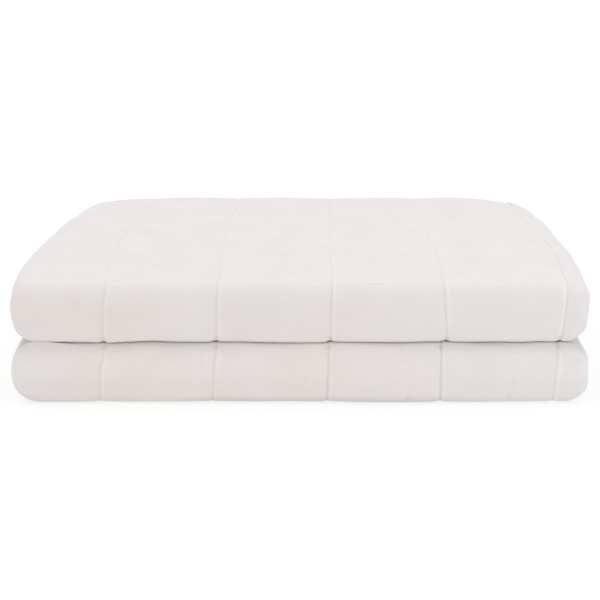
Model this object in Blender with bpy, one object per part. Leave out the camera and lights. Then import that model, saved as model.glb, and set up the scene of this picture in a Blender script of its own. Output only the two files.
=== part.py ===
"""Weighted blanket, quilted in square pockets and folded to a neat stack.

The blanket lies folded in half across its width, with the fold on the right and the two long hems on the
left. Both ends are then folded in towards the middle and the halves closed like a book, so two pressed
folds face the front, one large fold faces the back and the two short hems lie hidden between the layers.
Sizes are in metres. The blanket rests on z = 0 with its front towards -Y and its underside flat.
"""

import math
from collections import namedtuple

import bmesh
import bpy

# Quilting grid: pocket size, depth of the sewn channel below the pocket edge, and the extra crown.
POCKET = 0.114
CHANNEL = 0.0030
CROWN = 0.0018
CHANNEL_HALF = 0.008

# Pockets underneath fill out this much faster from their seams, pressed flat by the weight above.
PRESSED = 2.4

# Stack heights: each doubled layer, and the clearance kept between neighbouring layers.
LOWER_LAYER = 0.0335
UPPER_LAYER = 0.0285
LAYER_GAP = 0.001
MIDDLE_GAP = 0.0006
STACK_HEIGHT = 2.0 * LOWER_LAYER + 2.0 * UPPER_LAYER + 2.0 * LAYER_GAP + MIDDLE_GAP

# Depth positions, measured back from the first seam row on the top.
FRONT_AXIS = 0.003
SPINE_AXIS = 0.414
FLAP = 0.426

# Front folds: how far each reaches forward, its length round the outer face, and its two corners as
# (share of the way round, spread of the bend, share of the half turn taken), in path order.
UPPER_REACH = 0.021
UPPER_FOLD_LENGTH = 0.0882
UPPER_CORNERS = ((0.1384, 0.115, 0.40), (0.7732, 0.022, 0.45))
LOWER_REACH = 0.024
LOWER_FOLD_LENGTH = 0.1027
LOWER_CORNERS = ((0.1765, 0.070, 0.40), (0.7800, 0.058, 0.48))

# Sections round each front fold, as shares of the way round, closest together at its corners. The seam
# rows and the pocket middles have sections of their own.
UPPER_SHARES = (0.18, 0.26, 0.40, 0.55, 0.735, 0.775, 0.82, 0.88, 1.0)
LOWER_SHARES = (0.16, 0.21, 0.27, 0.40, 0.69, 0.745, 0.78, 0.815, 0.87, 1.0)
SPINE_STEPS = 10

# Width positions at the front: hem side, right fold, and the middle seam of the five across the top.
HEM_SIDE = -0.289
FOLD_SIDE = 0.2875
MIDDLE_SEAM = 0.0314
SEAMS_ACROSS = 5

# Edges: sewn hem thickness, the length over which the filling thins out to it, and the fold's half gap.
HEM_THICKNESS = 0.0035
HEM_TAPER = 0.020
FOLD_ROUND = 0.0155

# Outward spread of the two sides against depth, as (depth, spread).
LEFT_SPREAD = (
    (-0.020, 0.0018), (0.000, 0.0038), (0.040, 0.0080), (0.110, 0.0108), (0.180, 0.0072),
    (0.260, 0.0032), (0.330, -0.0035), (0.380, -0.0090), (0.430, -0.0180), (0.480, -0.0270),
)
RIGHT_SPREAD = (
    (-0.020, 0.0036), (0.000, 0.0022), (0.040, 0.0060), (0.110, 0.0130), (0.180, 0.0145),
    (0.280, 0.0130), (0.350, 0.0095), (0.400, 0.0030), (0.440, -0.0050), (0.480, -0.0120),
)

# Outward spread of the two sides against height, as (height, spread): drawn in at the base and the crease.
LEFT_LEAN = (
    (0.000, -0.0035), (0.010, 0.0010), (0.021, 0.0050), (0.035, 0.0058), (0.047, 0.0040),
    (0.056, 0.0000), (0.064, -0.0060), (0.071, -0.0060), (0.078, -0.0020), (0.088, 0.0005),
    (0.104, 0.0018), (0.116, 0.0000),
)
RIGHT_LEAN = (
    (0.000, 0.0005), (0.007, 0.0020), (0.014, 0.0060), (0.024, 0.0062), (0.040, 0.0050),
    (0.052, 0.0038), (0.058, 0.0010), (0.064, -0.0040), (0.070, -0.0050), (0.076, 0.0000),
    (0.092, 0.0004), (0.106, 0.0026), (0.118, 0.0028),
)

# Share of the spread with depth that is kept at each height, as (height, share).
LEFT_KEPT = ((0.045, 0.35), (0.100, 1.0))
RIGHT_KEPT = ((0.045, 0.60), (0.100, 1.0))

# Back corners: how far in from each side the back edge starts to curve forward, and how far it goes.
LEFT_CORNER = (0.105, 0.062)
RIGHT_CORNER = (0.085, 0.060)
CORNER_START = 0.300

FABRIC_COLOUR = (0.86, 0.84, 0.83, 1.0)


def clear_scene():
    """Remove every object already present."""
    for existing in list(bpy.data.objects):
        bpy.data.objects.remove(existing, do_unlink=True)


def table_value(table, position):
    """Return the smoothly interpolated value of a (position, value) table."""
    if position <= table[0][0]:
        return table[0][1]
    for (start, low), (end, high) in zip(table, table[1:]):
        if position <= end:
            share = (position - start) / (end - start)
            share = share * share * (3.0 - 2.0 * share)
            return low + (high - low) * share
    return table[-1][1]


def seam_positions():
    """Return the width positions of the seams that run front to back."""
    middle = (SEAMS_ACROSS - 1) / 2.0
    return [MIDDLE_SEAM + POCKET * (index - middle) for index in range(SEAMS_ACROSS)]


def puff(distance):
    """Return how far a pocket has risen, 0 at its seam and 1 at its middle."""
    half = 0.5 * POCKET
    share = min(abs(distance) / half, 1.0)
    wall = 1.0 - math.exp(-abs(distance) / (0.5 * CHANNEL_HALF))
    level = CHANNEL / (CHANNEL + CROWN)
    return level * wall + (1.0 - level) * math.sin(0.5 * math.pi * share)


def hem_drop(distance, half_layer):
    """Return how far the outer face sinks towards a hem lying at this distance."""
    if distance >= HEM_TAPER:
        return 0.0
    share = 1.0 - distance / HEM_TAPER
    full = half_layer - 0.5 * LAYER_GAP - HEM_THICKNESS
    return full * (1.0 - math.sqrt(max(0.0, 1.0 - share * share)))


# The path runs along the outer face. Its length coordinate is zero at the first seam row on the top and
# grows towards the back, over the spine, forward underneath and round the lower front fold.
UPPER_RADIUS = UPPER_LAYER + 0.5 * LAYER_GAP
LOWER_RADIUS = LOWER_LAYER + 0.5 * LAYER_GAP
SPINE_RADIUS = 0.5 * STACK_HEIGHT
UPPER_FOLD_END = FRONT_AXIS - UPPER_FOLD_LENGTH
SPINE_END = SPINE_AXIS + math.pi * SPINE_RADIUS
LOWER_FOLD_START = SPINE_END + SPINE_AXIS - FRONT_AXIS
LOWER_FOLD_END = LOWER_FOLD_START + LOWER_FOLD_LENGTH
PATH_START = UPPER_FOLD_END - FLAP
PATH_END = LOWER_FOLD_END + FLAP

# One place on the path. The out direction leads through the layers, press moves the outer face from a plain
# arc to its pressed outline, face is the outer face's own direction and touching is 1 where the folds meet.
PathPoint = namedtuple("PathPoint", "depth height out layer flap press face touching")


def fold_outline(corners, samples=600):
    """Trace half a turn taken mostly at two corners, as (forward 0 to 1, over 1 to -1) pairs."""
    places = [(index + 0.5) / samples for index in range(samples)]
    rates = [(1.0 - sum(corner[2] for corner in corners)) / samples] * samples
    for middle, spread, share in corners:
        bends = [math.exp(-(((place - middle) / spread) ** 2)) for place in places]
        total = sum(bends)
        rates = [rate + share * bend / total for rate, bend in zip(rates, bends)]
    outline = [(0.0, 0.0)]
    turned = 0.0
    for rate in rates:
        turn = math.pi * (turned + 0.5 * rate)
        outline.append((outline[-1][0] + math.cos(turn), outline[-1][1] + math.sin(turn)))
        turned += rate
    closing, whole = outline[-1]
    level = [(forward - closing * index / samples, over) for index, (forward, over) in enumerate(outline)]
    farthest = max(forward for forward, _over in level)
    return [(forward / farthest, 1.0 - 2.0 * over / whole) for forward, over in level]


UPPER_OUTLINE = fold_outline(UPPER_CORNERS)
LOWER_OUTLINE = fold_outline(LOWER_CORNERS)


def outline_point(outline, share, reach, radius):
    """Return the distance forward and the distance over at a share of the way round an outline."""
    place = min(max(share, 0.0), 1.0) * (len(outline) - 1)
    index = min(int(place), len(outline) - 2)
    part = place - index
    forward = outline[index][0] + (outline[index + 1][0] - outline[index][0]) * part
    over = outline[index][1] + (outline[index + 1][1] - outline[index][1]) * part
    return reach * forward, radius * over


def fold_point(share, upper):
    """Return the path point a share of the way round the upper or the lower front fold."""
    if upper:
        outline, reach, radius, layer, side = UPPER_OUTLINE, UPPER_REACH, UPPER_RADIUS, UPPER_LAYER, 1.0
        centre = STACK_HEIGHT - UPPER_RADIUS
    else:
        outline, reach, radius, layer, side = LOWER_OUTLINE, LOWER_REACH, LOWER_RADIUS, LOWER_LAYER, -1.0
        centre = LOWER_RADIUS
    turn = math.pi * share
    out = (-reach / radius * math.sin(turn), side * math.cos(turn))
    depth = FRONT_AXIS - reach * math.sin(turn)
    height = centre + radius * out[1]
    forward, over = outline_point(outline, share, reach, radius)
    press = (FRONT_AXIS - forward - depth, centre + side * over - height)
    before = outline_point(outline, share - 0.004, reach, radius)
    after = outline_point(outline, share + 0.004, reach, radius)
    run = math.hypot(after[0] - before[0], after[1] - before[1])
    face = ((after[1] - before[1]) / run, side * (after[0] - before[0]) / run)
    touching = min(max((-side * face[1] - 0.35) / 0.40, 0.0), 1.0)
    return PathPoint(depth, height, out, layer, 0.0, press, face, touching)


def plain_point(depth, height, out, layer, flap=0.0):
    """Return a path point that keeps its plain outline."""
    return PathPoint(depth, height, out, layer, flap, (0.0, 0.0), out, 0.0)


def path_point(along):
    """Return the place on the path at a length position."""
    if along < UPPER_FOLD_END:
        height = STACK_HEIGHT - 2.0 * UPPER_RADIUS
        return plain_point(FRONT_AXIS, height, (0.0, -1.0), UPPER_LAYER, UPPER_FOLD_END - along)
    if along < FRONT_AXIS:
        return fold_point((FRONT_AXIS - along) / UPPER_FOLD_LENGTH, True)
    if along < SPINE_AXIS:
        return plain_point(along, STACK_HEIGHT, (0.0, 1.0), UPPER_LAYER)
    if along < SPINE_END:
        turn = (along - SPINE_AXIS) / SPINE_RADIUS
        out = (math.sin(turn), math.cos(turn))
        layer = UPPER_LAYER + (LOWER_LAYER - UPPER_LAYER) * turn / math.pi
        height = SPINE_RADIUS + SPINE_RADIUS * out[1]
        return plain_point(SPINE_AXIS + SPINE_RADIUS * out[0], height, out, layer)
    if along < LOWER_FOLD_START:
        return plain_point(SPINE_AXIS - (along - SPINE_END), 0.0, (0.0, -1.0), LOWER_LAYER)
    if along <= LOWER_FOLD_END:
        return fold_point((along - LOWER_FOLD_START) / LOWER_FOLD_LENGTH, False)
    return plain_point(FRONT_AXIS, 2.0 * LOWER_RADIUS, (0.0, 1.0), LOWER_LAYER, along - LOWER_FOLD_END)


def straight_order(position):
    """Return a flat point's share of the way from the upper hem to the lower hem."""
    return 0.45 * (position - HEM_SIDE) / (FOLD_SIDE - FOLD_ROUND - HEM_SIDE)


def section_chains():
    """Return the two faces of the half-folded cloth as chains running hem, right fold, hem.

    Each point is (width position, layer side, rise share, order). Layer side is 1 on the outer face of the
    upper half and -1 on the outer face of the half tucked beneath it. Order runs from 0 to 1.
    """
    seams = seam_positions()
    fold_start = FOLD_SIDE - FOLD_ROUND
    slit = 0.5 * LAYER_GAP
    hem_steps = (0.0, 0.0025, 0.0075, HEM_TAPER)
    outer = [HEM_SIDE + step for step in hem_steps]
    outer.extend((seams[0] - 0.054, seams[0] - 0.028))
    for index, seam in enumerate(seams):
        outer.extend((seam - CHANNEL_HALF, seam, seam + CHANNEL_HALF))
        if index + 1 < len(seams):
            outer.append(seam + 0.5 * POCKET)
    outer.insert(-3, seams[-1] - 0.028)
    face = [(position, 1.0, 1.0, straight_order(position)) for position in outer]
    for step in range(7):
        turn = math.pi * step / 6.0
        side = math.cos(turn)
        position = fold_start + FOLD_ROUND * math.sin(turn)
        face.append((position, side, min(1.0, 1.0 + side), 0.45 + 0.1 * turn / math.pi))
    plain = [seams[-1] - CHANNEL_HALF, seams[-1] - 0.5 * POCKET, seams[-2], seams[1], seams[0]]
    plain.extend((outer[5], outer[4]))
    hidden = plain + [HEM_SIDE + step for step in reversed(hem_steps)]
    face.extend((position, -1.0, 0.0, 1.0 - straight_order(position)) for position in hidden)
    inside = [HEM_SIDE, HEM_SIDE + HEM_TAPER, outer[4]] + plain[4:0:-1] + [fold_start]
    back = [(position, slit, 0.0, straight_order(position)) for position in inside]
    back.append((fold_start + slit, 0.0, 0.0, 0.5))
    back.extend((position, -slit, 0.0, 1.0 - straight_order(position)) for position in reversed(inside))
    return face, back


def path_stations():
    """Return the positions along the path where a section is placed."""
    kept = [PATH_START, PATH_END]
    for step in (0.0025, 0.0075, HEM_TAPER):
        kept.extend((PATH_START + step, PATH_END - step))
    first_row = math.ceil((PATH_START + 2.0 * HEM_TAPER) / POCKET)
    last_row = math.floor((PATH_END - 2.0 * HEM_TAPER) / POCKET)
    for row in range(first_row, last_row + 1):
        seam = row * POCKET
        kept.extend((seam - CHANNEL_HALF, seam, seam + CHANNEL_HALF))
    fillers = [(row + 0.5) * POCKET for row in range(first_row, last_row)]
    fillers = [middle for middle in fillers if UPPER_FOLD_END < middle < LOWER_FOLD_END]
    fillers = [middle for middle in fillers if not SPINE_END < middle < LOWER_FOLD_START]
    fillers.extend(FRONT_AXIS - UPPER_FOLD_LENGTH * share for share in UPPER_SHARES)
    turned = [step / SPINE_STEPS for step in range(SPINE_STEPS + 1)]
    fillers.extend(SPINE_AXIS + (SPINE_END - SPINE_AXIS) * share for share in turned)
    fillers.extend(LOWER_FOLD_START + LOWER_FOLD_LENGTH * share for share in LOWER_SHARES)
    for filler in fillers:
        if min(abs(filler - other) for other in kept) > 0.0028:
            kept.append(filler)
    return sorted(kept)


def channel_distance(position, seams):
    """Return the distance from a width position to the nearest front-to-back seam."""
    return min(abs(position - seam) for seam in seams)


def row_distance(along):
    """Return the distance along the path to the nearest seam row."""
    offset = along % POCKET
    return min(offset, POCKET - offset)


def side_share(position, start, side):
    """Return how far a width position lies from a start line towards a side, 0 to 1."""
    return min(1.0, max(0.0, (position - start) / (side - start)))


def settle(position, depth, height):
    """Spread the sides outward with depth and height and curve the back corners forward.

    The spread with depth starts one pocket from the middle and the spread with height at the outer seam.
    """
    if position < MIDDLE_SEAM:
        spread = table_value(LEFT_SPREAD, depth) * table_value(LEFT_KEPT, height)
        spread *= side_share(position, MIDDLE_SEAM - POCKET, HEM_SIDE)
        lean = table_value(LEFT_LEAN, height) * side_share(position, MIDDLE_SEAM - 2.0 * POCKET, HEM_SIDE)
        moved = position - spread - lean
        reach, setback = LEFT_CORNER
        side_distance = position - HEM_SIDE
    else:
        spread = table_value(RIGHT_SPREAD, depth) * table_value(RIGHT_KEPT, height)
        spread *= side_share(position, MIDDLE_SEAM + POCKET, FOLD_SIDE)
        lean = table_value(RIGHT_LEAN, height) * side_share(position, MIDDLE_SEAM + 2.0 * POCKET, FOLD_SIDE)
        moved = position + spread + lean
        reach, setback = RIGHT_CORNER
        side_distance = FOLD_SIDE - position
    corner = max(0.0, 1.0 - side_distance / reach)
    ramp = max(0.0, (depth - CORNER_START) / (SPINE_AXIS + SPINE_RADIUS - CORNER_START))
    return moved, depth - setback * corner * corner * ramp, max(0.0, height)


def surface_point(along, point, seams, on_face):
    """Return the settled place of one section point at one path position."""
    position, side, rise_share, _order = point
    here = path_point(along)
    half = 0.5 * here.layer
    offset = side if not on_face else side * half
    lifted = 0.0
    if on_face:
        across = channel_distance(position, seams)
        if position > seams[-1] and side < 1.0:
            across = FOLD_SIDE - FOLD_ROUND - seams[-1] + FOLD_ROUND * math.acos(side)
        rise = (CHANNEL + CROWN) * puff(across) * puff(row_distance(along)) - CHANNEL
        if rise > 0.0:
            rise *= 1.0 - here.touching
        if here.flap > 0.0:
            rise = min(rise, 0.0)
        elif here.out[1] < -0.999:
            rise = min(PRESSED * (rise + CHANNEL) - CHANNEL, 0.0)
        end_distance = min(along - PATH_START, PATH_END - along)
        drop = max(hem_drop(position - HEM_SIDE, half), hem_drop(end_distance, half))
        rise *= rise_share * (1.0 - drop / (half - 0.5 * LAYER_GAP - HEM_THICKNESS))
        offset -= side * drop
        lifted = side * rise
        turning = math.sqrt(max(0.0, 1.0 - side * side))
        position += turning * (rise - (FOLD_ROUND - HEM_THICKNESS) * drop / half)
    level = offset - half
    outer = 0.5 * (1.0 + offset / half)
    depth = here.depth + here.flap + level * here.out[0] + outer * here.press[0] + lifted * here.face[0]
    height = here.height + level * here.out[1] + outer * here.press[1] + lifted * here.face[1]
    return settle(position, depth, height)


def zip_chains(bm, first, second):
    """Close a free end with triangles between the two faces, each chain given as (vertex, order)."""
    a = 0
    b = 0
    while a + 1 < len(first) or b + 1 < len(second):
        step_a = b + 1 >= len(second)
        if a + 1 < len(first) and b + 1 < len(second):
            step_a = first[a + 1][1] <= second[b + 1][1]
        if step_a:
            bm.faces.new((first[a][0], first[a + 1][0], second[b][0]))
            a += 1
        else:
            bm.faces.new((first[a][0], second[b + 1][0], second[b][0]))
            b += 1


def quilted_blanket():
    """Loft the half-folded section along the folding path and close both free ends."""
    seams = seam_positions()
    face, back = section_chains()
    bm = bmesh.new()
    rings = []
    for along in path_stations():
        outer = [bm.verts.new(surface_point(along, point, seams, True)) for point in face]
        inner = [bm.verts.new(surface_point(along, point, seams, False)) for point in back]
        rings.append((outer, inner))
    for (outer, inner), (next_outer, next_inner) in zip(rings, rings[1:]):
        ring = outer + inner[::-1]
        following = next_outer + next_inner[::-1]
        for index in range(len(ring)):
            after = (index + 1) % len(ring)
            bm.faces.new((ring[index], ring[after], following[after], following[index]))
    for outer, inner in (rings[0], rings[-1]):
        first = [(vertex, point[3]) for vertex, point in zip(outer, face)]
        second = [(vertex, point[3]) for vertex, point in zip(inner, back)]
        zip_chains(bm, first, second)
    bmesh.ops.recalc_face_normals(bm, faces=bm.faces)
    bmesh.ops.triangulate(bm, faces=bm.faces, quad_method="SHORT_EDGE")
    return bm


def centred(bm):
    """Move the shape so the middle of its bounding box lies on the origin and its base on z = 0."""
    lows = [min(vertex.co[axis] for vertex in bm.verts) for axis in range(3)]
    highs = [max(vertex.co[axis] for vertex in bm.verts) for axis in range(3)]
    shift = (-0.5 * (lows[0] + highs[0]), -0.5 * (lows[1] + highs[1]), -lows[2])
    bmesh.ops.translate(bm, verts=bm.verts, vec=shift)


def fabric_material():
    """Return the plain ivory-white cloth of the blanket."""
    material = bpy.data.materials.new("ivory_white_fabric")
    material.use_nodes = True
    shader = material.node_tree.nodes["Principled BSDF"]
    shader.inputs["Base Color"].default_value = FABRIC_COLOUR
    shader.inputs["Roughness"].default_value = 0.92
    shader.inputs["Metallic"].default_value = 0.0
    return material


def main():
    """Build the blanket as one named object in its own collection."""
    clear_scene()
    bm = quilted_blanket()
    centred(bm)
    mesh = bpy.data.meshes.new("quilted_blanket")
    bm.to_mesh(mesh)
    bm.free()
    for polygon in mesh.polygons:
        polygon.use_smooth = True
    mesh.materials.append(fabric_material())
    blanket = bpy.data.objects.new("quilted_blanket", mesh)
    collection = bpy.data.collections.new("weighted_blanket")
    bpy.context.scene.collection.children.link(collection)
    collection.objects.link(blanket)


main()
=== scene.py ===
"""Dressed model of the folded, quilted weighted blanket.

The blanket is one piece of cloth. It is built as one closed skin whose shown face carries the square pockets,
their sewn channels, puckers and soft creases, with the quilting thread laid along every channel that can be
seen. All sizes are in metres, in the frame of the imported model: x to the side with the lengthwise fold,
-y to the two pressed front folds, z up.
"""

import logging
import math
from dataclasses import dataclass, field
from enum import Enum
from typing import Sequence

import bpy
import numpy as np
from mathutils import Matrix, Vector


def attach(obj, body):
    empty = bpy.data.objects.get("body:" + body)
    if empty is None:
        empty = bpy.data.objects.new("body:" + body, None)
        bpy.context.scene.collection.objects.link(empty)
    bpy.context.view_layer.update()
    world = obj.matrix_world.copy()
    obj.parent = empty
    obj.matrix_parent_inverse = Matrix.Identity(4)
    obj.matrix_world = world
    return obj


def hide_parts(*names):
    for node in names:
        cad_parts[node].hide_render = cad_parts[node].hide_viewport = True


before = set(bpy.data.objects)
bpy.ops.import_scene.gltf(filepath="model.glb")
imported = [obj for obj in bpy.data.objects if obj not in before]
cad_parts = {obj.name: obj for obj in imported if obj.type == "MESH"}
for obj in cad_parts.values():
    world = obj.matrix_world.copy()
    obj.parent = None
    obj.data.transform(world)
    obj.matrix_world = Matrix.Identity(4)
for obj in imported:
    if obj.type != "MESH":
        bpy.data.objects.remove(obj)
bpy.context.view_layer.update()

LOG = logging.getLogger("weighted_blanket")

CAD_NODE = "quilted_blanket"
BODY = "root"

Array = np.ndarray
Pair = tuple[Array, Array]
Colour = tuple[float, float, float]
Two = tuple[float, float]
Steps = tuple[float, ...]
Table = tuple[Two, ...]
Ramp = tuple[Two, Two]
BAND_SCALE = 0.314  # scale of the wave texture at which its bands are a metre wide


def ease(share: Array) -> Array:
    """Turn an even share from 0 to 1 into one with soft ends."""
    return share * share * (3.0 - 2.0 * share)


def unit(value: Array) -> Array:
    """Hold a value between 0 and 1."""
    return np.clip(value, 0.0, 1.0)


def bell(value: Array, middle: float, width: float) -> Array:
    """Soft bump that is 1 at its middle and dies away over its width."""
    return np.exp(-(((value - middle) / width) ** 2))


def deeper(first: Array, second: Array) -> Array:
    """The deeper of two depths, rounded where they meet."""
    return (first ** 3 + second ** 3) ** (1.0 / 3.0)


def read_table(table: Table, position: Array) -> Array:
    """Interpolate a short table smoothly between its entries.

    Args:
        table: (position, value) pairs in rising order of position.
        position: Places at which the value is wanted.

    Returns:
        The value at each place, held constant beyond the ends.
    """
    spots, values = np.array(table).T
    place = np.clip(position, spots[0], spots[-1])
    after = np.clip(np.searchsorted(spots, place, side="right"), 1, len(spots) - 1)
    before = after - 1
    span = spots[after] - spots[before]
    share = (place - spots[before]) / span
    slopes = np.gradient(values, spots)
    slopes[0] = slopes[-1] = 0.0
    straight = values[before] + (values[after] - values[before]) * ease(share)
    leaving = slopes[before] * span * share * (1.0 - share) ** 2
    arriving = slopes[after] * span * share * share * (share - 1.0)
    return straight + leaving + arriving


@dataclass(frozen=True)
class SoftNoise:
    """Smooth, repeatable unevenness over a surface, between -1 and 1."""

    seed: int
    cell: float
    stretch: float = 1.0
    knots: int = 256
    start: Two = (97.3, 41.7)

    def at(self, across: Array, along: Array) -> Array:
        """Read the unevenness at each place."""
        lattice = np.random.default_rng(self.seed).uniform(-1.0, 1.0, (self.knots, self.knots))
        first = np.asarray(across, float) / self.cell + self.start[0]
        second = np.asarray(along, float) / (self.cell * self.stretch) + self.start[1]
        low_first, low_second = np.floor(first).astype(int), np.floor(second).astype(int)
        share_first, share_second = ease(first - low_first), ease(second - low_second)

        def line(step: int) -> Array:
            """Unevenness on one line of the lattice."""
            row = (low_second + step) % self.knots
            near, far = lattice[low_first % self.knots, row], lattice[(low_first + 1) % self.knots, row]
            return near + (far - near) * share_first

        low, high = line(0), line(1)
        return low + (high - low) * share_second


@dataclass(frozen=True)
class FoldProfile:
    """Outline of a pressed front fold seen from the side: a long face between two rounded corners.

    Corners stand at a share of the way round, each with a spread and the share of the half turn it takes,
    in the order in which the folding path meets them.
    """

    reach: float
    length: float
    corners: Two
    spreads: Two
    shares: Two
    samples: int = 1200
    step: float = 0.004

    def table(self) -> tuple[Array, Array, Array]:
        """Trace the outline.

        Returns:
            Share of the way round, distance forward (greatest 1) and distance turned over (from 1 to -1).
        """
        place = (np.arange(self.samples) + 0.5) / self.samples
        rate = np.full_like(place, (1.0 - sum(self.shares)) / self.samples)
        for corner, spread, share in zip(self.corners, self.spreads, self.shares):
            bend = bell(place, corner, spread)
            rate += share * bend / bend.sum()
        turn = math.pi * (np.cumsum(rate) - 0.5 * rate)
        forward = np.concatenate(([0.0], np.cumsum(np.cos(turn))))
        over = np.concatenate(([0.0], np.cumsum(np.sin(turn))))
        whole = np.linspace(0.0, 1.0, self.samples + 1)
        forward -= forward[-1] * whole
        return whole, forward / forward.max(), 1.0 - 2.0 * over / over[-1]

    def shape(self, share: Array, radius: float) -> Pair:
        """Distance forward and distance above the fold's axis at a share of the way round."""
        whole, forward, over = self.table()
        return self.reach * np.interp(share, whole, forward), radius * np.interp(share, whole, over)

    def facing(self, share: Array, radius: float) -> Pair:
        """Outward direction at a share of the way round."""
        before = self.shape(unit(share - self.step), radius)
        after = self.shape(unit(share + self.step), radius)
        run_forward, run_over = after[0] - before[0], after[1] - before[1]
        length = np.maximum(np.hypot(run_forward, run_over), 1e-9)
        return -run_over / length, run_forward / length


@dataclass(frozen=True)
class PathFrame:
    """Places along the folding path. Each pair is a value towards the back and a value upward.

    place follows plain arcs, and out leads from it through the layers. pressed moves the shown face from the
    plain arc to its pressed outline, and face is the shown face's outward direction. touching is 1 where the
    two rolls lie on each other, and nest is 1 on the lower roll's shoulder in front of the upper roll's lip.
    """

    place: Pair
    out: Pair
    pressed: Pair
    face: Pair
    touching: Array
    nest: Array
    layer: Array
    hidden: Array


@dataclass(frozen=True)
class FoldPlan:
    """How the blanket lies: its layers, folds, sides and back corners, the same as in the solid."""

    pocket: float = 0.114
    lower_layer: float = 0.0335
    upper_layer: float = 0.0285
    layer_gap: float = 0.001
    middle_gap: float = 0.0006
    front_axis: float = 0.003
    spine_axis: float = 0.414
    flap: float = 0.426
    hem_side: float = -0.289
    fold_side: float = 0.2875
    middle_seam: float = 0.0314
    seams_across: int = 5
    fold_round: float = 0.0155
    hem_thickness: float = 0.0035
    hem_taper: float = 0.020
    shift: Two = (-0.00257, -0.22820)
    left_spread: Table = (
        (-0.020, 0.0018), (0.000, 0.0038), (0.040, 0.0080), (0.110, 0.0108), (0.180, 0.0072),
        (0.260, 0.0032), (0.330, -0.0035), (0.380, -0.0090), (0.430, -0.0180), (0.480, -0.0270),
    )
    right_spread: Table = (
        (-0.020, 0.0023), (0.000, 0.0031), (0.040, 0.0061), (0.110, 0.0136), (0.180, 0.0147),
        (0.280, 0.0130), (0.350, 0.0095), (0.400, 0.0030), (0.440, -0.0050), (0.480, -0.0120),
    )
    left_lean: Table = (
        (0.000, -0.0035), (0.010, 0.0010), (0.021, 0.0050), (0.035, 0.0058), (0.047, 0.0040),
        (0.056, 0.0000), (0.064, -0.0060), (0.071, -0.0060), (0.078, -0.0020), (0.088, 0.0005),
        (0.104, 0.0018), (0.116, 0.0000),
    )
    right_lean: Table = (
        (0.000, 0.0005), (0.007, 0.0036), (0.014, 0.0064), (0.024, 0.0062), (0.040, 0.0050),
        (0.052, 0.0038), (0.058, 0.0010), (0.064, -0.0040), (0.070, -0.0052), (0.078, -0.0010),
        (0.092, 0.0003), (0.106, 0.0013), (0.118, 0.0021),
    )
    left_kept: Table = ((0.045, 0.35), (0.100, 1.0))
    right_kept: Table = ((0.045, 0.60), (0.100, 1.0))
    left_corner: Two = (0.105, 0.062)
    right_corner: Two = (0.085, 0.060)
    corner_start: float = 0.300
    upper_fold: FoldProfile = FoldProfile(0.021, 0.0882, (0.1150, 0.7732), (0.150, 0.022), (0.37, 0.43))
    lower_fold: FoldProfile = FoldProfile(0.024, 0.1027, (0.1765, 0.7800), (0.070, 0.058), (0.40, 0.48))
    lip_sag: float = 0.0020
    lip_spot: Two = (0.80, 0.05)
    nest_spot: Two = (0.772, 0.035)
    nest_lift: Table = ((-0.285, 0.0066), (-0.262, 0.0056), (-0.246, 0.0040), (-0.215, 0.0))
    touch_from: float = 0.35
    touch_over: float = 0.40
    crease_wave: Table = (
        (-0.258, -0.0013), (-0.214, -0.0012), (-0.193, -0.0017), (-0.178, -0.0010), (-0.151, 0.0003),
        (-0.128, -0.0005), (-0.085, -0.0007), (-0.063, -0.0004), (-0.033, -0.0012), (0.012, -0.0013),
        (0.025, -0.0010), (0.036, -0.0005), (0.047, -0.0006), (0.077, -0.0010), (0.107, -0.0010),
        (0.127, -0.0003), (0.145, -0.0003), (0.175, -0.0007), (0.202, -0.0004), (0.220, -0.0008),
        (0.242, 0.0000), (0.262, -0.0005), (0.272, 0.0000),
    )
    crease_height: float = 0.014
    crease_depth: float = 0.03

    @property
    def stack_height(self) -> float:
        """Height of the whole stack at its pocket edges."""
        return 2.0 * (self.lower_layer + self.upper_layer + self.layer_gap) + self.middle_gap

    @property
    def upper_radius(self) -> float:
        """Outer radius of the upper front fold."""
        return self.upper_layer + 0.5 * self.layer_gap

    @property
    def lower_radius(self) -> float:
        """Outer radius of the lower front fold."""
        return self.lower_layer + 0.5 * self.layer_gap

    @property
    def spine_radius(self) -> float:
        """Outer radius of the large fold at the back."""
        return 0.5 * self.stack_height

    @property
    def upper_fold_end(self) -> float:
        """Path position where the upper front fold meets the hidden upper flap."""
        return self.upper_roll(1.0)

    @property
    def spine_end(self) -> float:
        """Path position where the back fold meets the underside."""
        return self.spine_axis + math.pi * self.spine_radius

    @property
    def lower_fold_start(self) -> float:
        """Path position where the underside meets the lower front fold."""
        return self.spine_end + self.spine_axis - self.front_axis

    @property
    def lower_fold_end(self) -> float:
        """Path position where the lower front fold meets the hidden lower flap."""
        return self.lower_roll(1.0)

    @property
    def path_start(self) -> float:
        """Path position of the upper free end."""
        return self.upper_fold_end - self.flap

    @property
    def path_end(self) -> float:
        """Path position of the lower free end."""
        return self.lower_fold_end + self.flap

    @property
    def fold_start(self) -> float:
        """Width position where the lengthwise fold begins to turn."""
        return self.fold_side - self.fold_round

    def upper_roll(self, share: float) -> float:
        """Path position at a share of the way round the upper front fold."""
        return self.front_axis - self.upper_fold.length * share

    def lower_roll(self, share: float) -> float:
        """Path position at a share of the way round the lower front fold."""
        return self.lower_fold_start + self.lower_fold.length * share

    def corner_places(self) -> list[float]:
        """Path positions of the corners of both front folds."""
        upper, lower = self.upper_fold.corners, self.lower_fold.corners
        return [*map(self.upper_roll, upper), *map(self.lower_roll, lower)]

    def seams(self) -> Array:
        """Width positions of the seams that run front to back."""
        return self.middle_seam + self.pocket * (np.arange(self.seams_across) - 0.5 * (self.seams_across - 1))

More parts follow.
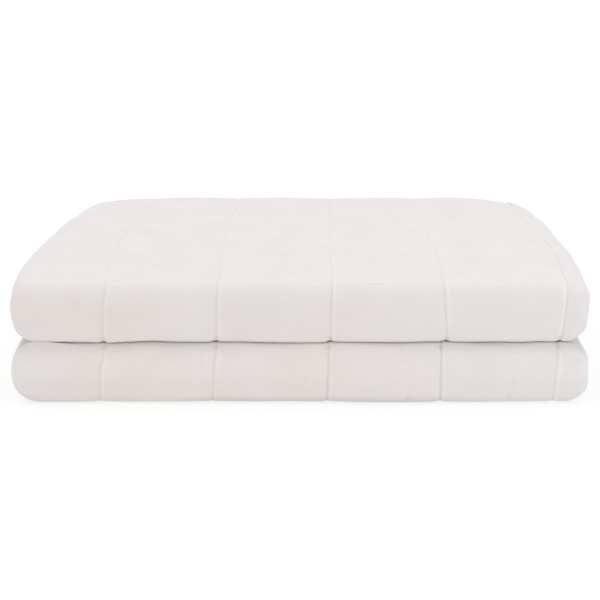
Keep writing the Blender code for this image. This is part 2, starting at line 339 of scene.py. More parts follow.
    def frame_at(self, along: Array) -> PathFrame:
        """Follow the folding path.

        Args:
            along: Path positions, zero at the first seam row on the top and growing towards the back.

        Returns:
            The place and outward direction of the shown face at each position.
        """
        w = np.asarray(along, float)
        upper, lower, spine = self.upper_radius, self.lower_radius, self.spine_radius
        axis, top = self.front_axis, self.stack_height
        upper_share = unit((axis - w) / self.upper_fold.length)
        lower_share = unit((w - self.lower_fold_start) / self.lower_fold.length)
        upper_sin, upper_cos = np.sin(math.pi * upper_share), np.cos(math.pi * upper_share)
        lower_sin, lower_cos = np.sin(math.pi * lower_share), np.cos(math.pi * lower_share)
        spine_turn = np.clip((w - self.spine_axis) / spine, 0.0, math.pi)
        spine_sin, spine_cos = np.sin(spine_turn), np.cos(spine_turn)
        in_upper, in_lower = w < axis, w >= self.lower_fold_start
        in_spine = (w >= self.spine_axis) & (w < self.spine_end)
        past_spine = w >= self.spine_end
        parts = [in_upper, in_spine, past_spine & ~in_lower, in_lower]
        depth = np.select(parts, [
            axis - self.upper_fold.reach * upper_sin, self.spine_axis + spine * spine_sin,
            self.spine_axis - (w - self.spine_end), axis - self.lower_fold.reach * lower_sin,
        ], w)
        height = np.select(parts, [
            top - upper + upper * upper_cos, spine + spine * spine_cos, 0.0, lower - lower * lower_cos,
        ], top)
        out_depth = np.select(parts, [
            -self.upper_fold.reach / upper * upper_sin, spine_sin,
            0.0, -self.lower_fold.reach / lower * lower_sin,
        ], 0.0)
        out_height = np.select(parts, [upper_cos, spine_cos, -1.0, -lower_cos], 1.0)
        blend = self.upper_layer + (self.lower_layer - self.upper_layer) * spine_turn / math.pi
        layer = np.select([in_spine, past_spine], [blend, self.lower_layer], self.upper_layer)
        hidden = np.maximum(0.0, self.upper_fold_end - w) + np.maximum(0.0, w - self.lower_fold_end)

        rolls = [in_upper, in_lower]
        upper_forward, upper_over = self.upper_fold.shape(upper_share, upper)
        lower_forward, lower_over = self.lower_fold.shape(lower_share, lower)
        sag = self.lip_sag * bell(upper_share, *self.lip_spot)
        pressed_depth = np.select(rolls, [axis - upper_forward - depth, axis - lower_forward - depth], 0.0)
        pressed_height = np.select(rolls, [
            top - upper + upper_over - sag - height, lower - lower_over - height,
        ], 0.0)
        upper_facing, upper_rising = self.upper_fold.facing(upper_share, upper)
        lower_facing, lower_rising = self.lower_fold.facing(lower_share, lower)
        face_depth = np.select(rolls, [-upper_facing, -lower_facing], out_depth)
        face_height = np.select(rolls, [upper_rising, -lower_rising], out_height)
        touching = np.select(rolls, [-upper_rising, -lower_rising], 0.0)
        touching = unit((touching - self.touch_from) / self.touch_over)
        nest = np.where(in_lower, bell(lower_share, *self.nest_spot), 0.0)
        return PathFrame(
            (depth + hidden, height), (out_depth, out_height), (pressed_depth, pressed_height),
            (face_depth, face_height), touching, nest, layer, hidden,
        )

    def settle(self, position: Array, depth: Array, height: Array) -> Array:
        """Spread the sides, curve the back corners and move the shape into the model's frame.

        Args:
            position: Width positions in the folding plan.
            depth: Distances back from the first seam row.
            height: Heights above the surface it rests on.

        Returns:
            Points as an array whose last axis is x, y, z.
        """
        left = position < self.middle_seam
        side = np.where(left, self.hem_side, self.fold_side)
        outward = np.where(left, -1.0, 1.0)
        inner_seam = self.middle_seam + outward * self.pocket
        outer_seam = self.middle_seam + 2.0 * outward * self.pocket
        spread_share = unit((position - inner_seam) / (side - inner_seam))
        lean_share = unit((position - outer_seam) / (side - outer_seam))
        left_spread = read_table(self.left_spread, depth) * read_table(self.left_kept, height)
        right_spread = read_table(self.right_spread, depth) * read_table(self.right_kept, height)
        spread = np.where(left, left_spread, right_spread)
        lean = np.where(left, read_table(self.left_lean, height), read_table(self.right_lean, height))
        moved = position + outward * (spread_share * spread + lean_share * lean)
        meeting = bell(height, 2.0 * self.lower_radius, self.crease_height)
        meeting = meeting * np.exp(-np.maximum(0.0, depth) / self.crease_depth)
        height = height + read_table(self.crease_wave, position) * meeting
        reach = np.where(left, self.left_corner[0], self.right_corner[0])
        setback = np.where(left, self.left_corner[1], self.right_corner[1])
        corner = np.maximum(0.0, 1.0 - np.abs(position - side) / reach)
        back = self.spine_axis + self.spine_radius
        ramp = np.maximum(0.0, (depth - self.corner_start) / (back - self.corner_start))
        depth = depth - setback * corner * corner * ramp
        return np.stack((moved + self.shift[0], depth + self.shift[1], np.maximum(0.0, height)), axis=-1)


@dataclass(frozen=True)
class Crease:
    """One soft crease pressed into the cloth: where it lies, how long and wide it is and how deep."""

    across: float
    along: float
    length: float
    width: float
    depth: float
    lean: float = 0.0

    def depth_at(self, across: Array, along: Array) -> Array:
        """How deep the crease is at each place of the flat cloth."""
        turn = math.radians(self.lean)
        aside, ahead = across - self.across, along - self.along
        run = aside * math.sin(turn) + ahead * math.cos(turn)
        off = aside * math.cos(turn) - ahead * math.sin(turn)
        return self.depth * (np.exp(-((run / (0.5 * self.length)) ** 4)) * bell(off, 0.0, self.width))


@dataclass(frozen=True)
class QuiltRelief:
    """The quilting: pocket crowns, sewn channels, gathered puckers and the beads' soft unevenness.

    The flat shares say how much of a channel's depth is kept where the cloth lies flat on top.
    """

    plan: FoldPlan
    channel: float = 0.0030
    crown: float = 0.0016
    crown_change: float = 0.35
    needle: float = 0.0014
    needle_width: float = 0.0013
    needle_place: float = -0.0006
    needle_edge: float = 1.4
    needle_flat: float = 0.25
    tightness_above: Steps = (0.30, 0.40, 0.65, 0.50, 0.28)
    tightness_below: Steps = (0.25, 0.50, 0.90, 0.95, 0.55)
    above_until: float = 0.5
    rows_from: float = 0.3
    shoulder: float = 0.0009
    shoulder_width: float = 0.0060
    column_flat: float = 0.50
    row_flat: float = 0.35
    lip: float = 0.00035
    lip_place: float = 0.0030
    lip_width: float = 0.0017
    pucker: float = 0.00025
    pucker_reach: float = 0.010
    row_pucker: float = 1.3
    softness: float = 0.0006
    small_beads: float = 0.45
    clear: float = 0.004
    turned: float = 1.4
    aside: float = 0.3
    eased: float = 0.75
    eased_reach: float = 0.04
    creases: tuple[Crease, ...] = ()
    drift: tuple[Table, ...] = ()

    def nearest_seam(self, across: Array) -> Pair:
        """Number of the nearest front-to-back seam, and the signed distance across from it."""
        offsets = np.asarray(across, float)[..., None] - self.plan.seams()
        nearest = np.argmin(np.abs(offsets), axis=-1)
        return nearest, np.take_along_axis(offsets, nearest[..., None], axis=-1)[..., 0]

    def row_distance(self, along: Array) -> Array:
        """Distance along the path to the nearest seam row."""
        offset = np.mod(along, self.plan.pocket)
        return np.minimum(offset, self.plan.pocket - offset)

    def sideways(self, across: Array, along: Array) -> Array:
        """Small sideways wandering of each front-to-back seam.

        Args:
            across: Width positions in the plan.
            along: Path positions.

        Returns:
            How far each place moves along x.
        """
        still = np.zeros_like(along)
        knots = [self.plan.hem_side, *self.plan.seams(), self.plan.fold_start]
        moves = [still, *(read_table(table, along) for table in self.drift), still]
        total = np.zeros(np.broadcast(across, along).shape)
        for low, high, start, end in zip(knots, knots[1:], moves, moves[1:]):
            share = unit((across - low) / (high - low))
            total = np.where((across >= low) & (across <= high), start + (end - start) * share, total)
        return total

    def rise(self, across: Array, along: Array) -> Array:
        """Height of the shown face above the pocket-edge level.

        Args:
            across: Flat positions across the cloth, running on round the lengthwise fold.
            along: Path positions.

        Returns:
            The rise at each place, negative in the channels.
        """
        half = 0.5 * self.plan.pocket
        nearest, beside = self.nearest_seam(across)
        du, dv = np.abs(beside), self.row_distance(along)
        front = self.front_share(along)
        rows_front = np.where(along > self.rows_from, front, 0.0)
        eased = 1.0 - self.eased * bell(along, 0.0, self.eased_reach)

        above, below = np.array(self.tightness_above)[nearest], np.array(self.tightness_below)[nearest]
        tight = np.where(along < self.above_until, above, below)
        needle_u = self.needle * tight * self.kept(self.needle_flat, front)
        needle_u = needle_u * self.needle_line(np.abs(beside - self.needle_place))
        needle_v = self.needle * self.kept(self.needle_flat, rows_front) * self.needle_line(dv)
        sink_u = self.shoulder * self.kept(self.column_flat, front) * np.exp(-du / self.shoulder_width)
        sink_v = self.shoulder * self.kept(self.row_flat, rows_front) * np.exp(-dv / self.shoulder_width)

        round_u = np.sin(0.5 * math.pi * np.minimum(du / half, 1.0))
        round_v = np.sin(0.5 * math.pi * np.minimum(dv / half, 1.0))
        round_v = 1.0 - (1.0 - round_v) * eased
        fullness = 1.0 + self.crown_change * SoftNoise(5, self.plan.pocket).at(across, along)
        level = self.crown * fullness * round_u * round_v
        level = level - deeper(needle_u, needle_v * eased) - deeper(sink_u, sink_v * eased)
        level = level + self.lip * bell(beside, self.lip_place, self.lip_width)

        open_cloth = (1.0 - np.exp(-du / self.clear)) * (1.0 - np.exp(-dv / self.clear))
        gather_u = np.exp(-du / self.pucker_reach) * SoftNoise(11, 0.012, 0.7).at(across + self.aside, along)
        gather_v = np.exp(-dv / self.pucker_reach) * SoftNoise(17, 0.0085, 1.4).at(across, along + self.aside)
        level = level + self.pucker * (gather_u + self.row_pucker * gather_v) * open_cloth
        small = self.small_beads * SoftNoise(29, 0.024).at(across, along)
        beads = SoftNoise(23, 0.052).at(across, along) + small
        level = level + self.softness * beads * open_cloth
        for crease in self.creases:
            level = level - crease.depth_at(across, along)
        return level

    def kept(self, flat: float, front: Array) -> Array:
        """Share of a channel's depth that is kept: all round the folds, less where the cloth lies flat."""
        return flat + (1.0 - flat) * front

    def needle_line(self, distance: Array) -> Array:
        """Depth of the line drawn in by the needle, 1 at the stitches."""
        return np.exp(-((distance / self.needle_width) ** self.needle_edge))

    def front_share(self, along: Array) -> Array:
        """How far the face turns to the front or back: 1 round the folds, 0 where it lies flat."""
        return unit(np.abs(self.plan.frame_at(along).face[0]) * self.turned)


class Skin(Enum):
    """Which part of the cloth's skin a point of the section belongs to."""

    SHOWN = "shown"
    TUCKED = "tucked"
    SLIT = "slit"


@dataclass(frozen=True)
class SectionPoint:
    """One point of the half-folded section, seen along the folding path."""

    position: float
    side: float
    flat: float
    skin: Skin


def link_mesh(name: str, corners: Sequence, faces: Sequence) -> bpy.types.Object:
    """Make a smooth mesh object and put it in the scene."""
    mesh = bpy.data.meshes.new(name)
    mesh.from_pydata(corners, [], faces)
    mesh.update()
    mesh.polygons.foreach_set("use_smooth", [True] * len(mesh.polygons))
    piece = bpy.data.objects.new(name, mesh)
    bpy.context.scene.collection.objects.link(piece)
    return piece


def both_ways(place: float, steps: Sequence[float]) -> list[float]:
    """Places at these steps before and after a place."""
    return [place + sign * step for sign in (-1.0, 1.0) for step in steps]


@dataclass
class QuiltedBlanket:
    """The whole blanket as one closed skin, folded along its path."""

    plan: FoldPlan
    relief: QuiltRelief
    column_steps: Steps = (
        0.0, 0.0006, 0.0012, 0.0019, 0.0028, 0.0040, 0.0058, 0.0085, 0.0125, 0.018, 0.025, 0.033,
        0.0415, 0.050,
    )
    row_steps: Steps = (
        0.0, 0.0008, 0.0017, 0.0029, 0.0048, 0.0080, 0.0125, 0.0175, 0.0230, 0.0300, 0.0380, 0.0470,
    )
    crease_columns: Steps = (-0.2440, -0.0966, 0.1108, 0.2148)
    crease_rows: Steps = (0.0342, 0.1560)
    crease_steps: Steps = (0.0, 0.0007, 0.0015, 0.0026, 0.0042, 0.0068)
    crease_row_steps: Steps = (0.0, 0.0018, 0.0040)
    corner_steps: Steps = (0.0, 0.0009, 0.0018, 0.0028, 0.0040, 0.0056, 0.0078, 0.0106)
    plain_steps: Steps = (0.0, 0.003, 0.008, 0.020, 0.038)
    hem_steps: Steps = (0.0, 0.0006, 0.0016, 0.0032, 0.0054, 0.0082, 0.0115, 0.0155, 0.020)
    after_hem: float = 0.031
    before_fold: float = 0.011
    tucked_from_fold: Steps = (0.008, 0.028, 0.084)
    tucked_to_hem: Steps = (0.028, 0.054)
    shown_rows: Two = (-0.16, 0.70)
    shown_margin: float = 0.06
    end_margin: float = 0.04
    least_across: float = 0.0004
    least_along: float = 0.00045
    fold_steps: int = 18
    rest_pressing: float = 2.4
    hem_waver: float = 0.0005
    hem_waver_reach: float = 0.06
    name: str = "quilted_blanket_cloth"

    def section(self) -> list[SectionPoint]:
        """Points round the half-folded section: hem, shown face, fold, tucked face, hem and the slit."""
        plan = self.plan
        seams = plan.seams()
        shown = [plan.hem_side + step for step in (*self.hem_steps, self.after_hem)]
        for seam in seams:
            shown.extend((*both_ways(seam, self.column_steps), seam + 0.5 * plan.pocket))
        for place in self.crease_columns:
            shown.extend(both_ways(place, self.crease_steps))
        shown = sorted(place for place in shown if place < seams[-1] + self.before_fold)
        shown = [p for p, before in zip(shown, [-1.0, *shown]) if p - before > self.least_across]
        points = [SectionPoint(float(p), 1.0, float(p), Skin.SHOWN) for p in shown]
        for step in range(self.fold_steps + 1):
            turn = math.pi * step / self.fold_steps
            position = plan.fold_start + plan.fold_round * math.sin(turn)
            flat = plan.fold_start + plan.fold_round * turn
            points.append(SectionPoint(position, math.cos(turn), flat, Skin.SHOWN))
        tucked = [seams[-1] - step for step in self.tucked_from_fold]
        tucked.extend((*seams[-2::-1], *(seams[0] - step for step in self.tucked_to_hem)))
        hems = [plan.hem_side + step for step in reversed(self.hem_steps)]
        points.extend(SectionPoint(float(p), -1.0, float(p), Skin.TUCKED) for p in tucked + hems)
        slit = [plan.hem_side, plan.hem_side + plan.hem_taper, *tucked[::-1], plan.fold_start]
        points.extend(SectionPoint(float(p), -1.0, float(p), Skin.SLIT) for p in slit)
        points.append(SectionPoint(plan.fold_start + 0.5 * plan.layer_gap, 0.0, 0.0, Skin.SLIT))
        points.extend(SectionPoint(float(p), 1.0, float(p), Skin.SLIT) for p in reversed(slit))
        return points

    def stations(self) -> Array:
        """Path positions of the sections, closest together beside the seam rows that can be seen."""
        plan = self.plan
        kept = [plan.path_start + step for step in self.hem_steps]
        kept.extend(plan.path_end - step for step in self.hem_steps)
        first = math.ceil((plan.path_start + self.end_margin) / plan.pocket)
        last = math.floor((plan.path_end - self.end_margin) / plan.pocket)
        lower_start = plan.lower_fold_start - self.shown_margin
        lower_end = plan.lower_fold_end + self.shown_margin
        for seam in (row * plan.pocket for row in range(first, last + 1)):
            for sign in (-1.0, 1.0):
                middle = seam + sign * 0.5 * plan.pocket
                seen = self.shown_rows[0] < middle < self.shown_rows[1] or lower_start < middle < lower_end
                steps = self.row_steps if seen else self.plain_steps
                kept.extend((*(seam + sign * step for step in steps), middle))
        for place in self.crease_rows:
            kept.extend(both_ways(place, self.crease_row_steps))
        for corner in plan.corner_places():
            kept.extend(both_ways(corner, self.corner_steps))
        kept = sorted(w for w in kept if plan.path_start <= w <= plan.path_end)
        thinned = [kept[0]]
        for w in kept[1:]:
            if w - thinned[-1] > self.least_along:
                thinned.append(w)
        return np.array(thinned)

    def hem_drop(self, distance: Array, full: Array) -> Array:
        """How far the face sinks at this distance from a hem, out of the full drop at the hem."""
        share = unit(1.0 - distance / self.plan.hem_taper)
        return full * (1.0 - np.sqrt(np.maximum(0.0, 1.0 - share * share)))

    def place(self, points: Sequence[SectionPoint], along: Array) -> Array:
        """Find where section points lie at each path position.

        Args:
            points: Points of the section.
            along: Path positions.

        Returns:
            Points as an array of path position by section point by x, y, z.
        """
        plan = self.plan
        w = np.asarray(along, float)[:, None]
        position, side, flat = np.array([(p.position, p.side, p.flat) for p in points]).T[:, None, :]
        slit, tucked = ([p.skin is skin for p in points] for skin in (Skin.SLIT, Skin.TUCKED))
        here = plan.frame_at(w)
        half = 0.5 * here.layer
        channel = self.relief.channel
        rise = self.relief.rise(flat, w)
        rise = np.where(here.hidden > 0.0, np.minimum(rise, 0.0), rise)
        rise = np.where(rise > 0.0, rise * (1.0 - here.touching), rise)
        resting = (here.out[1] < -0.999) & (here.hidden <= 0.0)
        rise = np.where(resting, np.minimum(self.rest_pressing * (rise + channel) - channel, 0.0), rise)
        end = np.minimum(w - plan.path_start, plan.path_end - w)
        full = half - 0.5 * plan.layer_gap - plan.hem_thickness
        drop = np.maximum(self.hem_drop(position - plan.hem_side, full), self.hem_drop(end, full))
        kept = np.where(tucked, 0.0, unit(1.0 + side)) * unit(1.0 - drop / full)
        turning = np.sqrt(np.maximum(0.0, 1.0 - side * side))
        moved = position + turning * (rise * kept - (plan.fold_round - plan.hem_thickness) * drop / half)
        moved = np.where(slit, position, moved)
        offset = np.where(slit, side * 0.5 * plan.layer_gap, side * (half - drop))
        lifted = np.where(slit, 0.0, side * rise * kept)
        level, outer = offset - half, 0.5 * (1.0 + offset / half)
        waver = self.hem_waver * SoftNoise(37, 0.085).at(np.sign(side), w)
        edge = unit(1.0 - np.abs(position - plan.hem_side) / self.hem_waver_reach)
        moved = moved + waver * edge + self.relief.sideways(position, w)
        depth, height = (
            place + level * out + outer * pressed + lifted * face
            for place, out, pressed, face in zip(here.place, here.out, here.pressed, here.face)
        )
        height = height + outer * here.nest * read_table(plan.nest_lift, position)
        return plan.settle(moved, depth, height)

    def build(self) -> bpy.types.Object:
        """Mesh the whole skin and close both free ends.

        Returns:
            The blanket's object, with its flat cloth coordinates stored as a UV map.
        """
        points, along = self.section(), self.stations()
        grid = self.place(points, along)
        rows, columns = grid.shape[:2]
        column, ring = np.arange(columns), np.arange(rows - 1)[:, None] * columns
        first, after = ring + column, ring + (column + 1) % columns
        faces = np.stack((first, after, after + columns, first + columns), axis=-1).reshape(-1, 4).tolist()
        for base, flip in ((0, True), ((rows - 1) * columns, False)):
            faces.extend(self.end_faces(points, base, flip))
        blanket = link_mesh(self.name, grid.reshape(-1, 3).tolist(), faces)
        mesh = blanket.data
        flat = np.array([[p.flat, w] for w in along for p in points])
        loops = np.zeros(len(mesh.loops), dtype=np.int64)
        mesh.loops.foreach_get("vertex_index", loops)
        mesh.uv_layers.new(name="cloth").data.foreach_set("uv", flat[loops].reshape(-1))
        return blanket

    def end_faces(self, points: Sequence[SectionPoint], base: int, flip: bool) -> list[tuple[int, ...]]:
        """Close a free end with triangles between the outer chain and the slit chain.

        Args:
            points: All points of the section.
            base: Index of the end ring's first vertex.
            flip: Whether the triangles wind the other way.

        Returns:
            The triangles as vertex index tuples.
        """
        plan = self.plan
        outer = [i for i, p in enumerate(points) if p.skin is not Skin.SLIT]
        slit = [i for i, p in enumerate(points) if p.skin is Skin.SLIT][::-1]

        def order(index: int) -> float:
            """Share of the way from the upper hem round the fold to the lower hem."""
            point = points[index]
            if point.position >= plan.fold_start:
                return 0.5 - 0.05 * point.side
            share = 0.45 * (point.position - plan.hem_side) / (plan.fold_start - plan.hem_side)
            return share if point.side > 0.0 else 1.0 - share

        faces = []
        while len(outer) > 1 or len(slit) > 1:
            if len(slit) == 1 or (len(outer) > 1 and order(outer[1]) <= order(slit[1])):
                triangle = (outer.pop(0), outer[0], slit[0])
            else:
                triangle = (outer[0], slit[1], slit.pop(0))
            faces.append(tuple(base + index for index in (triangle[::-1] if flip else triangle)))
        return faces


@dataclass
class QuiltingThread:
    """Lockstitches sunk along every seam that can be seen, and along the hems."""

    blanket: QuiltedBlanket
    stitch: float = 0.0034
    pitch: float = 0.0041
    radius: float = 0.00034
    sides: int = 5
    rings: Two = (0.25, 0.75)
    tip_sink: float = 0.7
    ring_rise: float = 0.75
    beside: float = 0.0006
    hem_inset: float = 0.0045
    end_inset: float = 0.010
    name: str = "quilting_thread"

    def runs(self) -> list[tuple[Array, Array, bool]]:
        """Lines of stitches as (across, along, runs front to back)."""
        plan = self.blanket.plan
        shown_along = np.arange(plan.upper_fold_end, plan.lower_fold_end, self.pitch)
        lines = [(np.full_like(shown_along, seam), shown_along, True) for seam in plan.seams()]
        side_end = plan.fold_start + plan.fold_round * 1.5
        shown_across = np.arange(plan.hem_side + self.end_inset, side_end, self.pitch)
        for row in range(0, math.floor(plan.lower_fold_start / plan.pocket) + 1):
            lines.append((shown_across, np.full_like(shown_across, row * plan.pocket), False))
        hem_along = np.arange(plan.path_start + self.end_inset, plan.path_end - self.end_inset, self.pitch)
        lines.append((np.full_like(hem_along, plan.hem_side + self.hem_inset), hem_along, True))
        return lines

    def on_cloth(self, across: Array, along: Array, lengthwise: bool) -> Array:
        """Places on the shown face along one line of stitches, carried on round the lengthwise fold."""
        plan = self.blanket.plan
        points = []
        for flat in map(float, across[:1] if lengthwise else across):
            turn = max(0.0, (flat - plan.fold_start) / plan.fold_round)
            position = flat if turn <= 0.0 else plan.fold_start + plan.fold_round * math.sin(turn)
            points.append(SectionPoint(position, math.cos(turn), flat, Skin.SHOWN))
        if lengthwise:
            return self.blanket.place(points, along)[:, 0]
        return self.blanket.place(points, along[:1])[0]

    def build(self) -> bpy.types.Object:
        """Mesh every stitch as a short tapered strand.

        Returns:
            One object that holds all the stitches.
        """
        strands: list[list[Array]] = []
        shifts = (-0.5 * self.stitch, 0.0, 0.5 * self.stitch)
        for across, along, lengthwise in self.runs():
            if lengthwise:
                start, middle, finish = (self.on_cloth(across, along + shift, True) for shift in shifts)
                nearby = self.on_cloth(across + self.beside, along, True)
            else:
                start, middle, finish = (self.on_cloth(across + shift, along, False) for shift in shifts)
                nearby = self.on_cloth(across, along + self.beside, False)
            run = finish - start
            run /= np.linalg.norm(run, axis=1)[:, None]
            out = np.cross(nearby - middle, run) * (-1.0 if lengthwise else 1.0)
            out = np.cross(run, np.cross(out, run))
            out /= np.linalg.norm(out, axis=1)[:, None]
            strands.extend(map(self.strand, start, finish, out, np.cross(run, out)))
        vertices = [point.tolist() for strand in strands for point in strand]
        bases = range(0, len(vertices), len(strands[0]))
        return link_mesh(self.name, vertices, [face for base in bases for face in self.strand_faces(base)])

    def strand(self, start: Array, finish: Array, out: Array, beside: Array) -> list[Array]:
        """Points of one stitch.

        Args:
            start: Where the needle came up.
            finish: Where the needle went down.
            out: Outward direction at the stitch.
            beside: Direction across the stitch.

        Returns:
            The first tip, two rings of points and the second tip.
        """
        sink = out * self.radius * self.tip_sink
        points = [start - sink]
        for share in self.rings:
            centre = start + (finish - start) * share + out * self.radius * self.ring_rise
            for side in range(self.sides):
                turn = 2.0 * math.pi * side / self.sides
                points.append(centre + self.radius * (out * math.cos(turn) + beside * math.sin(turn)))
        return [*points, finish - sink]

    def strand_faces(self, base: int) -> list[tuple[int, ...]]:
        """Faces of the stitch whose first tip has this index."""
        faces: list[tuple[int, ...]] = []
        tip = base + 1 + 2 * self.sides
        for side in range(self.sides):
            near, near_after = base + 1 + side, base + 1 + (side + 1) % self.sides
            far, far_after = near + self.sides, near_after + self.sides
            faces += [(base, near_after, near), (near, near_after, far_after, far), (tip, far, far_after)]
        return faces


@dataclass(frozen=True)
class Nodes:
    """The nodes of one material or world, with short ways to add to them."""

    tree: bpy.types.NodeTree

    def feed(self, node: bpy.types.Node, inputs: dict) -> bpy.types.Node:
        """Give a node's inputs their plain values or the outputs of other nodes."""
        for key, value in inputs.items():
            if isinstance(value, Wire):
                self.tree.links.new(value.socket, node.inputs[key])
            else:
                node.inputs[key].default_value = value
        return node

    def add(self, kind: str, inputs: dict, output: str, **settings: str) -> "Wire":
        """Add a node.

        Args:
            kind: Kind of node.
            inputs: What each of its inputs gets.
            output: Name of the output that is wanted.
            **settings: The node's own settings.

        Returns:
            The wanted output.
        """
        node = self.tree.nodes.new("ShaderNode" + kind)
        for name, value in settings.items():
            setattr(node, name, value)
        return Wire(self, self.feed(node, inputs).outputs[output])

    def place(self, output: str = "Object") -> "Wire":
        """Place on the object, or direction in the room."""
        return self.add("TexCoord", {}, output)

    def noise(self, place: "Wire", scale: float, detail: float) -> "Wire":
        """Soft noise."""
        inputs = {"Vector": place, "Scale": scale, "Detail": detail, "Roughness": 0.55}
        return self.add("TexNoise", inputs, "Fac")

    def bands(self, place: "Wire", width: float, direction: str, **inputs: float) -> "Wire":
        """Bands of one width in one direction."""
        inputs = {"Vector": place, "Scale": BAND_SCALE / width, **inputs}
        return self.add("TexWave", inputs, "Fac", wave_type="BANDS", bands_direction=direction)

    def bump(self, height: "Wire", strength: float, distance: float, **under: "Wire") -> "Wire":
        """Fine relief, on top of other relief if there is any."""
        inputs = {"Height": height, "Strength": strength, "Distance": distance, **under}
        return self.add("Bump", inputs, "Normal")

    def mix(self, first: Colour, second: Colour, share: "Wire") -> "Wire":
        """Mix two colours."""
        inputs = {"A": (*first, 1.0), "B": (*second, 1.0), "Factor": share}
        return self.add("Mix", inputs, "Result", data_type="RGBA")


@dataclass(frozen=True)
class Wire:
    """One value in a node tree. Working with it adds the nodes that do the work."""

    nodes: Nodes
    socket: bpy.types.NodeSocket

    def math(self, operation: str, *others: "Wire | float") -> "Wire":
        """Result of one arithmetic node."""
        return self.nodes.add("Math", dict(enumerate((self, *others))), "Value", operation=operation)

    def __add__(self, other: "Wire | float") -> "Wire":
        """Sum with another value."""
        return self.math("ADD", other)

    def __sub__(self, other: "Wire | float") -> "Wire":
        """Difference from another value."""
        return self.math("SUBTRACT", other)

    def __mul__(self, other: "Wire | float") -> "Wire":
        """Product with another value."""
        return self.math("MULTIPLY", other)

    def span(self, ramp: Ramp, **settings: str) -> "Wire":
        """Map one range of values onto another and hold it beyond the ends."""
        (low, high), (start, end) = ramp
        inputs = {"Value": self, "From Min": low, "From Max": high, "To Min": start, "To Max": end}
        return self.nodes.add("MapRange", inputs, "Result", **settings)

    def away(self, middle: float) -> "Wire":
        """Distance from a middle value."""
        return (self - middle).math("ABSOLUTE")

    def band(self, middle: float, reach: float) -> "Wire":
        """Soft band that is 1 at its middle and 0 from its reach on."""
        return self.away(middle).span(((0.0, reach), (1.0, 0.0)), interpolation_type="SMOOTHSTEP")

    def axes(self) -> list["Wire"]:
        """Its x, y and z."""
        split = self.nodes.add("SeparateXYZ", {"Vector": self}, "X").socket.node
        return [Wire(self.nodes, output) for output in split.outputs]


def start_material(name: str) -> tuple[bpy.types.Material, Nodes, bpy.types.Node]:
    """Make a material and return it with its nodes and its shader."""
    material = bpy.data.materials.new(name)
    material.use_nodes = True
    return material, Nodes(material.node_tree), material.node_tree.nodes["Principled BSDF"]


